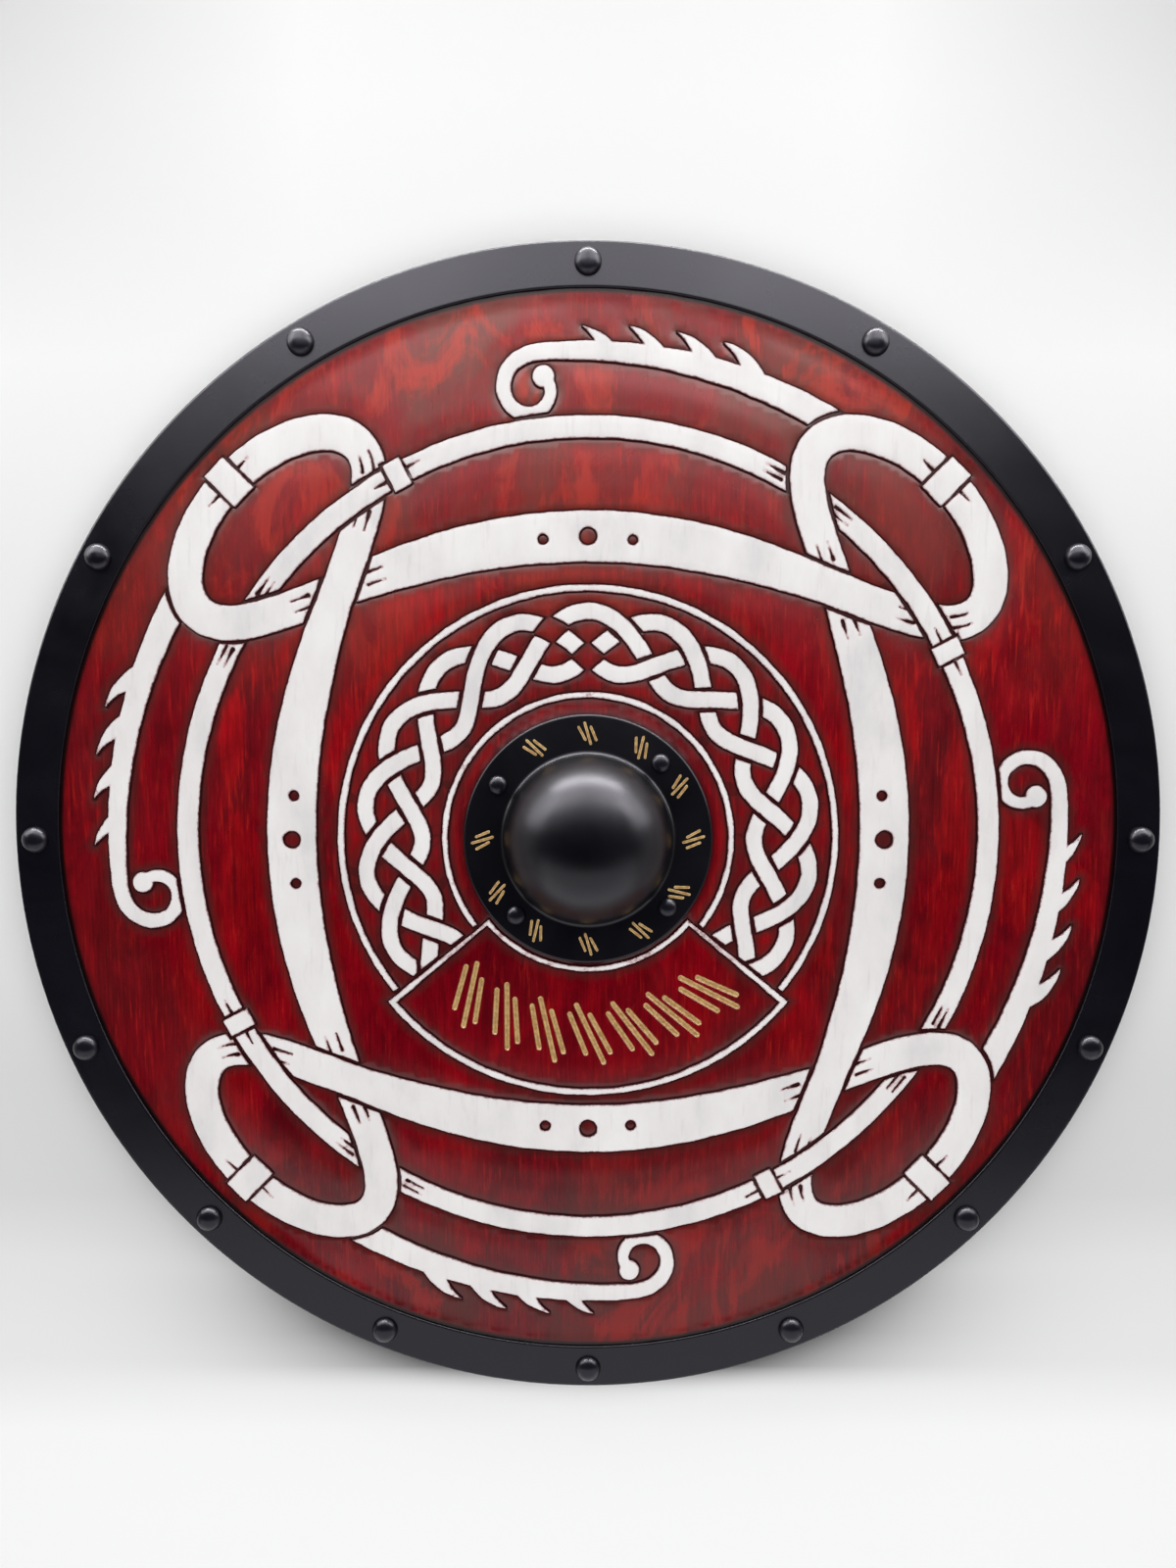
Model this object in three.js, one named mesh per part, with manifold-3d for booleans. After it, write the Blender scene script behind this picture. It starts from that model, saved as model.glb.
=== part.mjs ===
// A round wooden shield lying on its back: a carved disc of wood in a steel
// rim, a steel boss over the hand hole, a wooden grip behind it, and rivets.
// Millimetres, +Z out of the front face, +Y along the grain. The origin is in
// the middle of the underside, where the grip rests.
import * as THREE from "three";
import { mergeVertices } from "three/addons/utils/BufferGeometryUtils.js";
import Module from "manifold-3d";

const wasm = await Module();
wasm.setup();
const { Manifold, Mesh: SolidMesh } = wasm;

// ---------------------------------------------------------------- dimensions
const gap = 0.3;                 // clearance between pieces that touch
const quarter = Math.PI / 2;
const turn = 2 * Math.PI;
const degrees = turn / 360;

const shieldRadius = 406.5;
const rimSteel = 2;
const rimBend = 1.5;             // how far the front edge is rounded over
const rimFace = 30.7;            // width of the front flange
const rimBackFace = 10;          // width of the back flange, short of the rivets
const rimSides = 60;

const boardBack = 22.3;
const boardThickness = 12;
const boardTop = boardBack + boardThickness;
const boardRadius = shieldRadius - rimSteel - gap;
const handHoleRadius = 54;
const handHoleSides = 32;
const carveDepth = 2;            // how far the ground lies below the pattern

const rimTop = boardTop + gap + rimSteel;
const rimInner = shieldRadius - rimFace;
const bossFlange = 88.5;
const bossSteel = 2;
const domeRadius = 61.7;
const domeHeight = 58;           // above the flange's upper face
const bossSides = 36;
const domeRings = 6;
const hollowRings = 5;

const gripWidth = 34;
const gripSeat = boardBack - gap - rimSteel - gap;   // under the rim's back flange
const gripEndDepth = 9;
const gripReach = boardRadius - 3;
const gripShoulder = shieldRadius - rimBackFace - 2;
const gripTaper = 60;            // length of the slope towards each end

const rimRivetRadius = shieldRadius - rimFace / 2 + 1.2;   // just outside the face's middle
const rimRivetHead = 18.7;
const rimRivetHeight = 7.4;
const bossRivetCircle = 74.6;
const bossRivetHead = 13.5;
const bossRivetHeight = 5.2;
const shank = 5;                 // rivet shank diameter
const tailLength = 1.5;          // how far a shank stands out behind
const shankSides = 6;
const rivetSides = 8;
const headRings = 3;
// Clockwise from the top, in degrees.
const rimRivetAngles = [0, 30, 60, 90, 112.5, 135, 157.5, 180, 202.5, 225, 247.5, 270, 300, 330];
const bossRivetAngles = [43.5, 130.3, 223.7, 301.3];

// The carved pattern.
const fieldInner = bossFlange + 3;
const fieldOuter = rimInner - 2.5;
const fieldSides = 48;
const underGap = 2.8;            // ground left beside a ribbon that passes over
const slantLimit = 0.35;         // a crossing counts as at least this steep
const ring = { radius: 281, swing: 70, lean: 0.6, loops: 4, half: 12, swell: 5.5 };
const hoop = { radius: 285, half: 7.5 };
const plait = { radius: 139, swing: 21, waves: 6, strands: 3, half: 5.8 };
const plaitBorders = [{ radius: 102, half: 2, sides: 30 }, { radius: 176, half: 2.3, sides: 40 }];
const fan = { inner: 95, outer: 186, spread: 51, line: 4.5, sides: 11 };
const tendril = { angle: -31, radius: 333, stem: 222, curl: 92, half: 9.5, tip: 4, knob: 7.5 };
const tendrilBends = { stem: 350, curl: 26, end: 13 };   // radii of its bends
const thorn = { lean: 58, bend: 38.5, root: 0.23, point: 0.3 };
const thorns = [{ at: 0.2, size: 36 }, { at: 0.31, size: 33 }, { at: 0.42, size: 29 }, { at: 0.53, size: 25 }];
const holes = [{ angle: -8.5, radius: 3.8 }, { angle: 0, radius: 6.4 }, { angle: 8.5, radius: 3.8 }];
const sheaves = { count: 7, pitch: 12.6, apart: 3.3, radius: 141, lean: 4 };
const strokes = { long: 21, short: 14, half: 1.9, depth: 1.5 };   // depth below the ground

// ------------------------------------------------------------------- solids
function solidOf(geometry) {
  const bare = geometry.index ? geometry.toNonIndexed() : geometry.clone();
  bare.deleteAttribute("normal");
  bare.deleteAttribute("uv");
  const merged = mergeVertices(bare, 1e-4);
  const vertProperties = new Float32Array(merged.attributes.position.array);
  const triVerts = new Uint32Array(merged.index.array);
  return new Manifold(new SolidMesh({ numProp: 3, vertProperties, triVerts }));
}

function geometryOf(solid) {
  const { vertProperties, triVerts } = solid.getMesh();
  const geometry = new THREE.BufferGeometry();
  geometry.setAttribute("position", new THREE.BufferAttribute(new Float32Array(vertProperties), 3));
  geometry.setIndex(new THREE.BufferAttribute(new Uint32Array(triVerts), 1));
  geometry.computeVertexNormals();
  return geometry;
}

const unite = (solids) => solids.reduce((all, next) => all.add(next));

// An upright prism over an outline of [x, y] points.
function prism(outline, low, high) {
  const shape = new THREE.Shape(outline.map(([x, y]) => new THREE.Vector2(x, y)));
  const geometry = new THREE.ExtrudeGeometry(shape, { depth: high - low, bevelEnabled: false });
  return solidOf(geometry.translate(0, 0, low));
}

const polar = (radius, angle) => [radius * Math.cos(angle), radius * Math.sin(angle)];
const clockwise = (angle) => quarter - angle * degrees;

function circle(radius, sides, [x, y] = [0, 0], phase = 0) {
  return Array.from({ length: sides }, (_, i) => {
    const [dx, dy] = polar(radius, phase + (i / sides) * turn);
    return [x + dx, y + dy];
  });
}

const disc = (radius, sides, low, high) => prism(circle(radius, sides), low, high);
const annulus = (inner, outer, sides, low, high) =>
  disc(outer, sides, low, high).subtract(disc(inner, sides, low - 1, high + 1));

function sector(inner, outer, from, to, sides) {
  const arc = (radius, start, end) =>
    Array.from({ length: sides + 1 }, (_, i) => polar(radius, start + ((end - start) * i) / sides));
  return [...arc(outer, from, to), ...arc(inner, to, from)];
}

// --------------------------------------------------------- ribbons and weave
// A strand is a centre line with a half width at each point. Its points stand
// close together where it bends and far apart where it runs nearly straight.
function strand(curve, { closed = true, tolerance = 0.8, samples = 2400 } = {}) {
  const dense = Array.from({ length: samples + 1 }, (_, i) => curve(i / samples));
  const heading = (i) => Math.atan2(dense[i + 1].y - dense[i].y, dense[i + 1].x - dense[i].x);
  const points = [dense[0]];
  let run = 0;
  let bend = 0;
  for (let i = 1; i < samples; i += 1) {
    run += Math.hypot(dense[i].x - dense[i - 1].x, dense[i].y - dense[i - 1].y);
    const change = heading(i) - heading(i - 1);
    bend += Math.abs(Math.atan2(Math.sin(change), Math.cos(change)));
    if ((run + dense[i].half * bend) * bend > 8 * tolerance) {
      points.push(dense[i]);
      run = 0;
      bend = 0;
    }
  }
  points.push(dense[samples]);
  const along = [0];
  for (let i = 1; i < points.length; i += 1) {
    const step = Math.hypot(points[i].x - points[i - 1].x, points[i].y - points[i - 1].y);
    along.push(along[i - 1] + step);
  }
  return { points, along, closed, length: along.at(-1) };
}

function pointAt({ points, along }, distance) {
  let i = along.findIndex((value) => value > distance);
  if (i < 1) i = distance <= 0 ? 1 : points.length - 1;
  const share = (distance - along[i - 1]) / (along[i] - along[i - 1]);
  const mix = (key) => points[i - 1][key] + share * (points[i][key] - points[i - 1][key]);
  return { x: mix("x"), y: mix("y"), half: mix("half") };
}

// The stretch of a strand between two distances, which may run past its seam.
function stretch(line, from, to) {
  const { points, along, closed, length } = line;
  if (!closed) {
    from = Math.max(from, 0);
    to = Math.min(to, length);
  }
  const inside = [];
  const laps = closed ? [-1, 0, 1] : [0];
  for (const lap of laps) {
    points.forEach((point, i) => {
      if (closed && i === points.length - 1) return;
      const here = along[i] + lap * length;
      if (here > from + 1 && here < to - 1) inside.push(point);
    });
  }
  const wrap = (distance) => (closed ? ((distance % length) + length) % length : distance);
  return [pointAt(line, wrap(from)), ...inside, pointAt(line, wrap(to))];
}

// The outline of a stretch, with square ends, widened by an extra margin.
function ribbon(points, extra = 0) {
  const left = [];
  const right = [];
  points.forEach((point, i) => {
    const before = points[Math.max(i - 1, 0)];
    const after = points[Math.min(i + 1, points.length - 1)];
    const first = Math.atan2(point.y - before.y, point.x - before.x);
    const second = Math.atan2(after.y - point.y, after.x - point.x);
    const inward = i === 0 ? second : first;
    const outward = i === points.length - 1 ? first : second;
    const bend = Math.atan2(Math.sin(outward - inward), Math.cos(outward - inward));
    const normal = inward + bend / 2 + quarter;
    const reach = (point.half + extra) / Math.cos(bend / 2);
    left.push([point.x + reach * Math.cos(normal), point.y + reach * Math.sin(normal)]);
    right.push([point.x - reach * Math.cos(normal), point.y - reach * Math.sin(normal)]);
  });
  return [...right, ...left.reverse()];
}

// Every place where two centre lines cross, as a pass of each strand.
function passesOf(strands) {
  const passes = [];
  const each = strands.flatMap(({ points, along }, line) =>
    points.slice(1).map((end, i) => ({ line, i, start: points[i], end, from: along[i] })));
  each.forEach((one, n) => {
    for (const two of each.slice(n + 1)) {
      const [ax, ay] = [one.end.x - one.start.x, one.end.y - one.start.y];
      const [bx, by] = [two.end.x - two.start.x, two.end.y - two.start.y];
      const [cx, cy] = [two.start.x - one.start.x, two.start.y - one.start.y];
      const cross = ax * by - ay * bx;
      const t = (cx * by - cy * bx) / cross;
      const u = (cx * ay - cy * ax) / cross;
      const neighbours = one.line === two.line && two.i - one.i < 2;
      if (neighbours || !(t >= 0 && t < 1 && u >= 0 && u < 1)) continue;
      const sine = Math.abs(cross) / Math.hypot(ax, ay) / Math.hypot(bx, by);
      const first = { line: one.line, at: one.from + t * Math.hypot(ax, ay), sine };
      const second = { line: two.line, at: two.from + u * Math.hypot(bx, by), sine, other: first };
      first.other = second;
      passes.push(first, second);
    }
  });
  return passes;
}

// Over and under take turns along every strand.
function setOver(strands, passes) {
  const rows = strands.map((_, line) =>
    passes.filter((pass) => pass.line === line).sort((a, b) => a.at - b.at));
  const next = (pass, step) => {
    const row = rows[pass.line];
    return row[(row.indexOf(pass) + step + row.length) % row.length];
  };
  for (const seed of passes) {
    if (seed.over !== undefined) continue;
    seed.over = true;
    const open = [seed];
    while (open.length > 0) {
      const pass = open.pop();
      for (const other of [pass.other, next(pass, 1), next(pass, -1)]) {
        if (other.over !== undefined) continue;
        other.over = !pass.over;
        open.push(other);
      }
    }
  }
  return rows;
}

// Closed strands woven over and under each other, as one solid.
function weave(strands, low, high) {
  const rows = setOver(strands, passesOf(strands));
  const pieces = [];
  strands.forEach((line, index) => {
    const unders = rows[index].filter((pass) => !pass.over);
    unders.forEach((pass, i) => {
      const last = i === unders.length - 1;
      const end = last ? { ...unders[0], at: unders[0].at + line.length } : unders[i + 1];
      let piece = prism(ribbon(stretch(line, pass.at, end.at)), low, high);
      for (const cut of [pass, end]) {
        const over = strands[cut.other.line];
        const width = pointAt(over, cut.other.at).half + pointAt(line, cut.at % line.length).half;
        const reach = (1.3 * (width + underGap)) / Math.max(cut.sine, slantLimit);
        const beside = stretch(over, cut.other.at - reach, cut.other.at + reach);
        piece = piece.subtract(prism(ribbon(beside, underGap), low - 1, high + 1));
      }
      pieces.push(piece);
    });
  });
  return unite(pieces);
}

// ---------------------------------------------------------- carved ornament
const low = boardTop - carveDepth;
const high = boardTop + 2;       // the pattern is trimmed by the board's face

function ringStrand() {
  return strand((share) => {
    const t = share * turn;
    const wave = Math.cos(ring.loops * t);
    const angle = turn / 8 + t - ring.lean * Math.sin(ring.loops * t);
    const [x, y] = polar(ring.radius + ring.swing * wave, angle);
    const swell = THREE.MathUtils.clamp((-wave - 0.55) / 0.45, 0, 1);
    return { x, y, half: ring.half + ring.swell * swell };
  });
}

function hoopStrand() {
  return strand((share) => {
    const [x, y] = polar(hoop.radius, share * turn + 0.05);
    return { x, y, half: hoop.half };
  });
}

function plaitStrand(index) {
  return strand((share) => {
    const t = share * turn;
    const wave = Math.cos(plait.waves * t + (index / plait.strands) * turn);
    const [x, y] = polar(plait.radius + plait.swing * wave, t + quarter);
    return { x, y, half: plait.half };
  }, { tolerance: 0.9 });
}

// A path that starts at a point and turns by a curvature along its length.
function grow([x, y], heading, length, curvature, half, tolerance = 0.6) {
  const steps = 600;
  const step = length / steps;
  const path = [];
  for (let i = 0; i <= steps; i += 1) {
    path.push({ x, y, half: half(i / steps), heading });
    const turned = curvature((i + 0.5) * step) * step;
    x += step * Math.cos(heading + turned / 2);
    y += step * Math.sin(heading + turned / 2);
    heading += turned;
  }
  const at = (share) => path[Math.round(share * steps)];
  const line = strand(at, { closed: false, tolerance, samples: steps });
  return { ...line, path };
}

// A thorned tendril that ends in a curl, beside the positive X axis.
function tendrilPieces() {
  const { stem, curl, half, tip } = tendril;
  const length = stem + curl;
  const curvature = (distance) => {
    const share = THREE.MathUtils.clamp((distance - stem) / curl, 0, 1);
    const bend = THREE.MathUtils.smoothstep(distance, stem - 20, stem + 10);
    const tight = THREE.MathUtils.lerp(1 / tendrilBends.curl, 1 / tendrilBends.end, share);
    return THREE.MathUtils.lerp(1 / tendrilBends.stem, tight, bend);
  };
  const start = tendril.angle * degrees;
  const body = grow(polar(tendril.radius, start), start + quarter, length, curvature,
    (share) => half - (half - tip) * share, 0.9);
  const end = body.path.at(-1);
  const pieces = [ribbon(body.points), circle(tendril.knob, 8, [end.x, end.y])];
  for (const { at, size } of thorns) {
    const root = body.path[Math.round(at * (body.path.length - 1))];
    const spike = grow([root.x, root.y], root.heading - thorn.lean * degrees, size,
      () => 1 / thorn.bend, (share) => thorn.root * size * (1 - share) + thorn.point, 0.7);
    pieces.push(ribbon(spike.points));
  }
  return pieces;
}

function tendrils(beneath) {
  const solids = tendrilPieces().map((outline) => prism(outline, low, high));
  const turns = [0, 90, 180, 270].flatMap((angle) => solids.map((solid) => solid.rotate([0, 0, angle])));
  return unite(turns).subtract(beneath);
}

function fanOutline(grown, inner = fieldInner - 8) {
  const down = -quarter;
  const half = fan.spread * degrees;
  const lean = grown / fan.outer;
  return sector(inner, fan.outer + grown, down - half - lean, down + half + lean, fan.sides);
}

function pattern() {
  const bold = [ringStrand(), hoopStrand()];
  const main = weave(bold, low, high);
  const margin = unite(bold.map((line) => {
    const halves = [stretch(line, 0, line.length / 2), stretch(line, line.length / 2, line.length)];
    return unite(halves.map((points) => prism(ribbon(points, underGap), low - 1, high + 1)));
  }));
  const knots = weave([0, 1, 2].map(plaitStrand), low, high);
  const borders = plaitBorders.map(({ radius, half, sides }) =>
    annulus(radius - half, radius + half, sides, low, high));
  const collar = unite([knots, ...borders]).subtract(prism(fanOutline(underGap), low - 1, high + 1));
  const inside = prism(fanOutline(-fan.line, fan.inner), low - 1, high + 1);
  const panel = prism(fanOutline(0), low, high).subtract(inside);
  const bored = [0, 1, 2, 3].flatMap((k) => holes.map(({ angle, radius }) => {
    const centre = polar(ring.radius - ring.swing, k * quarter + angle * degrees);
    return prism(circle(radius, 7, centre), low - 1, high + 1);
  }));
  return unite([main.subtract(unite(bored)), tendrils(margin), collar, panel]);
}

// Slanted strokes in seven sheaves, cut into the panel below the boss.
function strokeCuts() {
  const cuts = [];
  for (let sheaf = 0; sheaf < sheaves.count; sheaf += 1) {
    const middle = -90 + (sheaf - (sheaves.count - 1) / 2) * sheaves.pitch;
    for (const place of [-1, 0, 1]) {
      const reach = place === 0 ? strokes.long : strokes.short;
      const angle = middle + place * sheaves.apart;
      const tilt = (sheaves.lean * reach) / strokes.long;
      const [x0, y0] = polar(sheaves.radius - reach, (angle - tilt) * degrees);
      const [x1, y1] = polar(sheaves.radius + reach, (angle + tilt) * degrees);
      const ends = [{ x: x0, y: y0, half: strokes.half }, { x: x1, y: y1, half: strokes.half }];
      cuts.push(prism(ribbon(ends), low - strokes.depth, high));
    }
  }
  return unite(cuts);
}

// -------------------------------------------------------------------- pieces
const rimRivetPlaces = rimRivetAngles.map((angle) => polar(rimRivetRadius, clockwise(angle)));
const bossRivetPlaces = bossRivetAngles.map((angle) => polar(bossRivetCircle, clockwise(angle)));
// A bore whose flats stand one gap clear of the shank.
const boreRadius = (shank / 2 + gap) / Math.cos(Math.PI / shankSides);
const shankHole = ([x, y]) =>
  prism(circle(boreRadius, shankSides, [x, y], Math.atan2(y, x)), -1, boardTop + domeHeight);

function board() {
  const blank = disc(boardRadius, rimSides, boardBack, boardTop);
  const ground = annulus(fieldInner, fieldOuter, fieldSides, low, high).subtract(pattern());
  const bores = [...rimRivetPlaces, ...bossRivetPlaces].map((place) => shankHole(place));
  const hole = disc(handHoleRadius, handHoleSides, boardBack - 1, boardTop + 1);
  return blank.subtract(unite([ground, strokeCuts(), hole, ...bores]));
}

// A steel channel folded over the board's edge.
function rim() {
  const back = boardBack - gap;
  const outer = shieldRadius;
  const wall = outer - rimSteel;
  const profile = [
    [wall, back], [outer - rimBackFace, back], [outer - rimBackFace, back - rimSteel],
    [outer, back - rimSteel], [outer, rimTop - rimBend], [outer - rimBend, rimTop],
    [rimInner, rimTop], [rimInner, rimTop - rimSteel], [wall, rimTop - rimSteel],
  ];
  const points = [...profile, profile[0]].map(([r, z]) => new THREE.Vector2(r, z));
  const channel = solidOf(new THREE.LatheGeometry(points, rimSides).rotateX(quarter));
  return channel.subtract(unite(rimRivetPlaces.map((place) => shankHole(place))));
}

// A hollow steel dome on a flat flange.
function boss() {
  const base = boardTop + gap;
  const flangeTop = base + bossSteel;
  const dome = (radius, foot, rings) => Array.from({ length: rings + 1 }, (_, i) => {
    const angle = (i / rings) * quarter;
    return [i === rings ? 0 : radius * Math.cos(angle), foot + domeHeight * Math.sin(angle)];
  });
  const inner = dome(domeRadius - bossSteel, base, hollowRings).reverse();
  const outer = dome(domeRadius, flangeTop, domeRings);
  const profile = [...inner, [bossFlange, base], [bossFlange, flangeTop], ...outer];
  const points = profile.map(([r, z]) => new THREE.Vector2(r, z));
  const shell = solidOf(new THREE.LatheGeometry(points, bossSides).rotateX(quarter));
  return shell.subtract(unite(bossRivetPlaces.map((place) => shankHole(place))));
}

// A wooden bar across the back, thin at its ends where the rim rivets hold it.
function grip() {
  const top = boardBack - gap;
  const half = gripWidth / 2;
  const rightSide = [
    [gripShoulder - gripTaper, 0], [gripReach, gripSeat - gripEndDepth], [gripReach, gripSeat],
    [gripShoulder, gripSeat], [gripShoulder, top],
  ];
  const side = [...rightSide, ...rightSide.map(([x, z]) => [-x, z]).reverse()];
  const bar = prism(side, -half, half).rotate([90, 0, 0]);
  return bar.subtract(unite([[rimRivetRadius, 0], [-rimRivetRadius, 0]].map((place) => shankHole(place))));
}

// A domed head on a shank; the shank's tail stands a little proud behind.
function rivet([x, y], head, height, seat, tail) {
  const profile = [[0, tail], [shank / 2, tail], [shank / 2, seat]];
  for (let i = 0; i < headRings; i += 1) {
    const angle = (i / headRings) * quarter;
    profile.push([(head / 2) * Math.cos(angle), seat + height * Math.sin(angle)]);
  }
  profile.push([0, seat + height]);
  const points = profile.map(([r, z]) => new THREE.Vector2(r, z));
  const geometry = new THREE.LatheGeometry(points, rivetSides).rotateX(quarter);
  return solidOf(geometry).translate([x, y, 0]);
}

// ------------------------------------------------------------------ assembly
const woodRed = new THREE.MeshStandardMaterial({ color: 0x74151c, roughness: 0.45, metalness: 0 });
const woodBare = new THREE.MeshStandardMaterial({ color: 0x6b4a2e, roughness: 0.65, metalness: 0 });
const blackSteel = new THREE.MeshStandardMaterial({ color: 0x17171a, roughness: 0.4, metalness: 0.5 });
const glossSteel = new THREE.MeshStandardMaterial({ color: 0x17171a, roughness: 0.22, metalness: 0.5 });

const group = new THREE.Group();
function place(name, solid, material) {
  const mesh = new THREE.Mesh(geometryOf(solid), material.clone());
  mesh.name = name;
  group.add(mesh);
}

place("board", board(), woodRed);
place("rim", rim(), blackSteel);
place("boss", boss(), glossSteel);
place("grip", grip(), woodBare);
rimRivetPlaces.forEach((spot, i) => {
  const throughGrip = Math.abs(spot[1]) < 1;
  const tail = (throughGrip ? gripSeat - gripEndDepth : boardBack) - tailLength;
  const name = `rim_rivet_${String(i + 1).padStart(2, "0")}`;
  place(name, rivet(spot, rimRivetHead, rimRivetHeight, rimTop + gap, tail), glossSteel);
});
bossRivetPlaces.forEach((spot, i) => {
  const seat = boardTop + gap + bossSteel + gap;
  const tail = boardBack - tailLength;
  place(`boss_rivet_${i + 1}`, rivet(spot, bossRivetHead, bossRivetHeight, seat, tail), glossSteel);
});

export default group;
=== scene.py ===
"""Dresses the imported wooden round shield: carved and painted board, black steel
rim and boss, rivets and grip, on a pale floor under soft studio light."""

import math

import bpy
import numpy as np
from mathutils import Matrix, Vector, geometry

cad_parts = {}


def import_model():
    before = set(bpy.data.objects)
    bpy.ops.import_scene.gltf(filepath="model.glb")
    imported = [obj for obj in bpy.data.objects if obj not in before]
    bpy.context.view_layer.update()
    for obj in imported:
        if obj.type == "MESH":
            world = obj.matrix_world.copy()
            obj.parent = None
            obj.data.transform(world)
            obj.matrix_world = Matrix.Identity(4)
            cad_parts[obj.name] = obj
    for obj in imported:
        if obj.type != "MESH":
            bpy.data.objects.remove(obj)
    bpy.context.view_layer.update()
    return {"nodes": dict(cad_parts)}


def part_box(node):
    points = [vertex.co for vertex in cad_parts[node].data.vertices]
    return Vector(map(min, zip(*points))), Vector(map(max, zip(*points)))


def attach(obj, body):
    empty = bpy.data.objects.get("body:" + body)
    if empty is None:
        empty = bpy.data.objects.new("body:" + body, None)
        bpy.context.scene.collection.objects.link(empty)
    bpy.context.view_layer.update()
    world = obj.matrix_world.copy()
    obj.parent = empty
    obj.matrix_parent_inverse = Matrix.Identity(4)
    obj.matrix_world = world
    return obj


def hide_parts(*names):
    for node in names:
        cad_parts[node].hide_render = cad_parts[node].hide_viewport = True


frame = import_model()

MM = 0.001
TURN = 2 * math.pi
DEGREE = TURN / 360
QUARTER = TURN / 4


# ---- sizes, in millimetres
def span(node):
    """A node's lowest and highest corners in millimetres."""
    low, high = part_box(node)
    return np.array(low) / MM, np.array(high) / MM


BOARD_LOW, BOARD_HIGH = span("board")
BOSS_LOW, BOSS_HIGH = span("boss")
RIM_HIGH = span("rim")[1]
GRIP_HIGH = span("grip")[1]

STEEL = 2.0
GAP = 0.3
BOARD_RADIUS = BOARD_HIGH[0]
BOARD_TOP = BOARD_HIGH[2]
BOARD_BACK = BOARD_LOW[2]
HAND_HOLE = 54.0
RIM_RADIUS = RIM_HIGH[0]
RIM_TOP = RIM_HIGH[2]
RIM_FACE = 30.7
RIM_INNER = RIM_RADIUS - RIM_FACE
RIM_BACK_FACE = 10.0
FLANGE_RADIUS = BOSS_HIGH[0]
FLANGE_TOP = BOSS_LOW[2] + STEEL
DOME_RADIUS = 61.7

# The carved ornament, as in the solids. Places along a line are shares of its length.
UNDER_GAP = 2.8
RING = dict(radius=281, swing=70, lean=0.6, loops=4, half=12, swell=5.5)
HOOP = dict(radius=285, half=7.5)
PLAIT = dict(radius=139, swing=21, waves=6, strands=3, half=5.8)
PLAIT_BORDERS = ((102, 2.0), (176, 2.3))
FAN = dict(outer=186, spread=51, line=4.5, inner=95.0)
TENDRIL = dict(angle=-31, radius=333, stem=222, curl=92, half=9.5, tip=4, knob=7.5)
TENDRIL_BENDS = dict(stem=350, curl=26, end=13)
THORNS = ((0.2, 36), (0.31, 33), (0.42, 29), (0.53, 25))
THORN = dict(angle=58, curvature=0.026, taper=0.23, tip=0.3)
HOLES = ((-8.5, 3.8), (0, 6.4), (8.5, 3.8))
STROKES = dict(groups=7, pitch=12.6, apart=3.3, radius=141, lean=4, half=1.9)
SHEAF = ((-1, 14), (0, 21), (1, 14))

# Finer marks than the solids have.
NICK = dict(length=15, sides=(-0.34, 0.3), wide=1.25, narrow=0.25)
RING_COLLAR = dict(length=19, proud=2.6)
HOOP_COLLAR = dict(length=13, proud=2.4)
HOOP_COLLAR_AT = 0.069
COLLAR_CUT = dict(reach=11, side=0.12, wide=1.2, narrow=0.25)
WAVER = 0.3
FLANGE_STROKES = dict(places=12, empty=10, radius=75.0, apart=3.1, lean=1.6, half=0.95, rise=0.14)
FLANGE_SHEAF = ((-1, 4.4), (0, 7.2), (1, 4.4))


# ---- plain helpers
def polar(radius, angle):
    return np.stack([radius * np.cos(angle), radius * np.sin(angle)], -1)


def smoothstep(value, low, high):
    share = np.clip((value - low) / (high - low), 0, 1)
    return share * share * (3 - 2 * share)


def turned(points, angle):
    c, s = math.cos(angle), math.sin(angle)
    return points @ np.array([[c, s], [-s, c]])


# ---- strands and weaving
class Strand:
    """A closed centre line with a half width at each of its evenly spaced points."""

    def __init__(self, points, half, step=1.0):
        half = np.broadcast_to(np.asarray(half, float), len(points))
        points, half = np.vstack([points, points[:1]]), np.append(half, half[0])
        run = np.r_[0, np.cumsum(np.linalg.norm(np.diff(points, axis=0), axis=1))]
        count = int(round(run[-1] / step))
        at = np.linspace(0, run[-1], count + 1)[:-1]
        self.points = np.stack([np.interp(at, run, points[:, k]) for k in (0, 1)], -1)
        self.half = np.interp(at, run, half)
        self.step = run[-1] / count

    def index(self, at):
        return np.asarray(at) % len(self.points)

    def heading(self, at):
        ahead, behind = self.points[self.index(at + 2)], self.points[self.index(at - 2)]
        return math.atan2(ahead[1] - behind[1], ahead[0] - behind[0])


def crossings(strands, stride=3):
    """Each place where two centre lines cross: (strand, index, strand, index)."""
    rows = []
    for strand in strands:
        at = np.append(np.arange(0, len(strand.points), stride), 0)
        rows.append((strand.points[at[:-1]], strand.points[at[1:]], at[:-1]))
    found = []
    for i, (start, end, from_index) in enumerate(rows):
        for j in range(i, len(rows)):
            other_start, other_end, other_index = rows[j]
            along = other_end - other_start
            for m in range(len(start)):
                run = end[m] - start[m]
                cross = run[0] * along[:, 1] - run[1] * along[:, 0]
                cross[np.abs(cross) < 1e-9] = 1e-9
                to = other_start - start[m]
                t = (to[:, 0] * along[:, 1] - to[:, 1] * along[:, 0]) / cross
                u = (to[:, 0] * run[1] - to[:, 1] * run[0]) / cross
                for n in np.nonzero((t >= 0) & (t < 1) & (u >= 0) & (u < 1))[0]:
                    if i != j or m + 2 < n < m + len(start) - 2:
                        found.append((i, int(from_index[m] + t[n] * stride),
                                      j, int(other_index[n] + u[n] * stride)))
    return found


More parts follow.
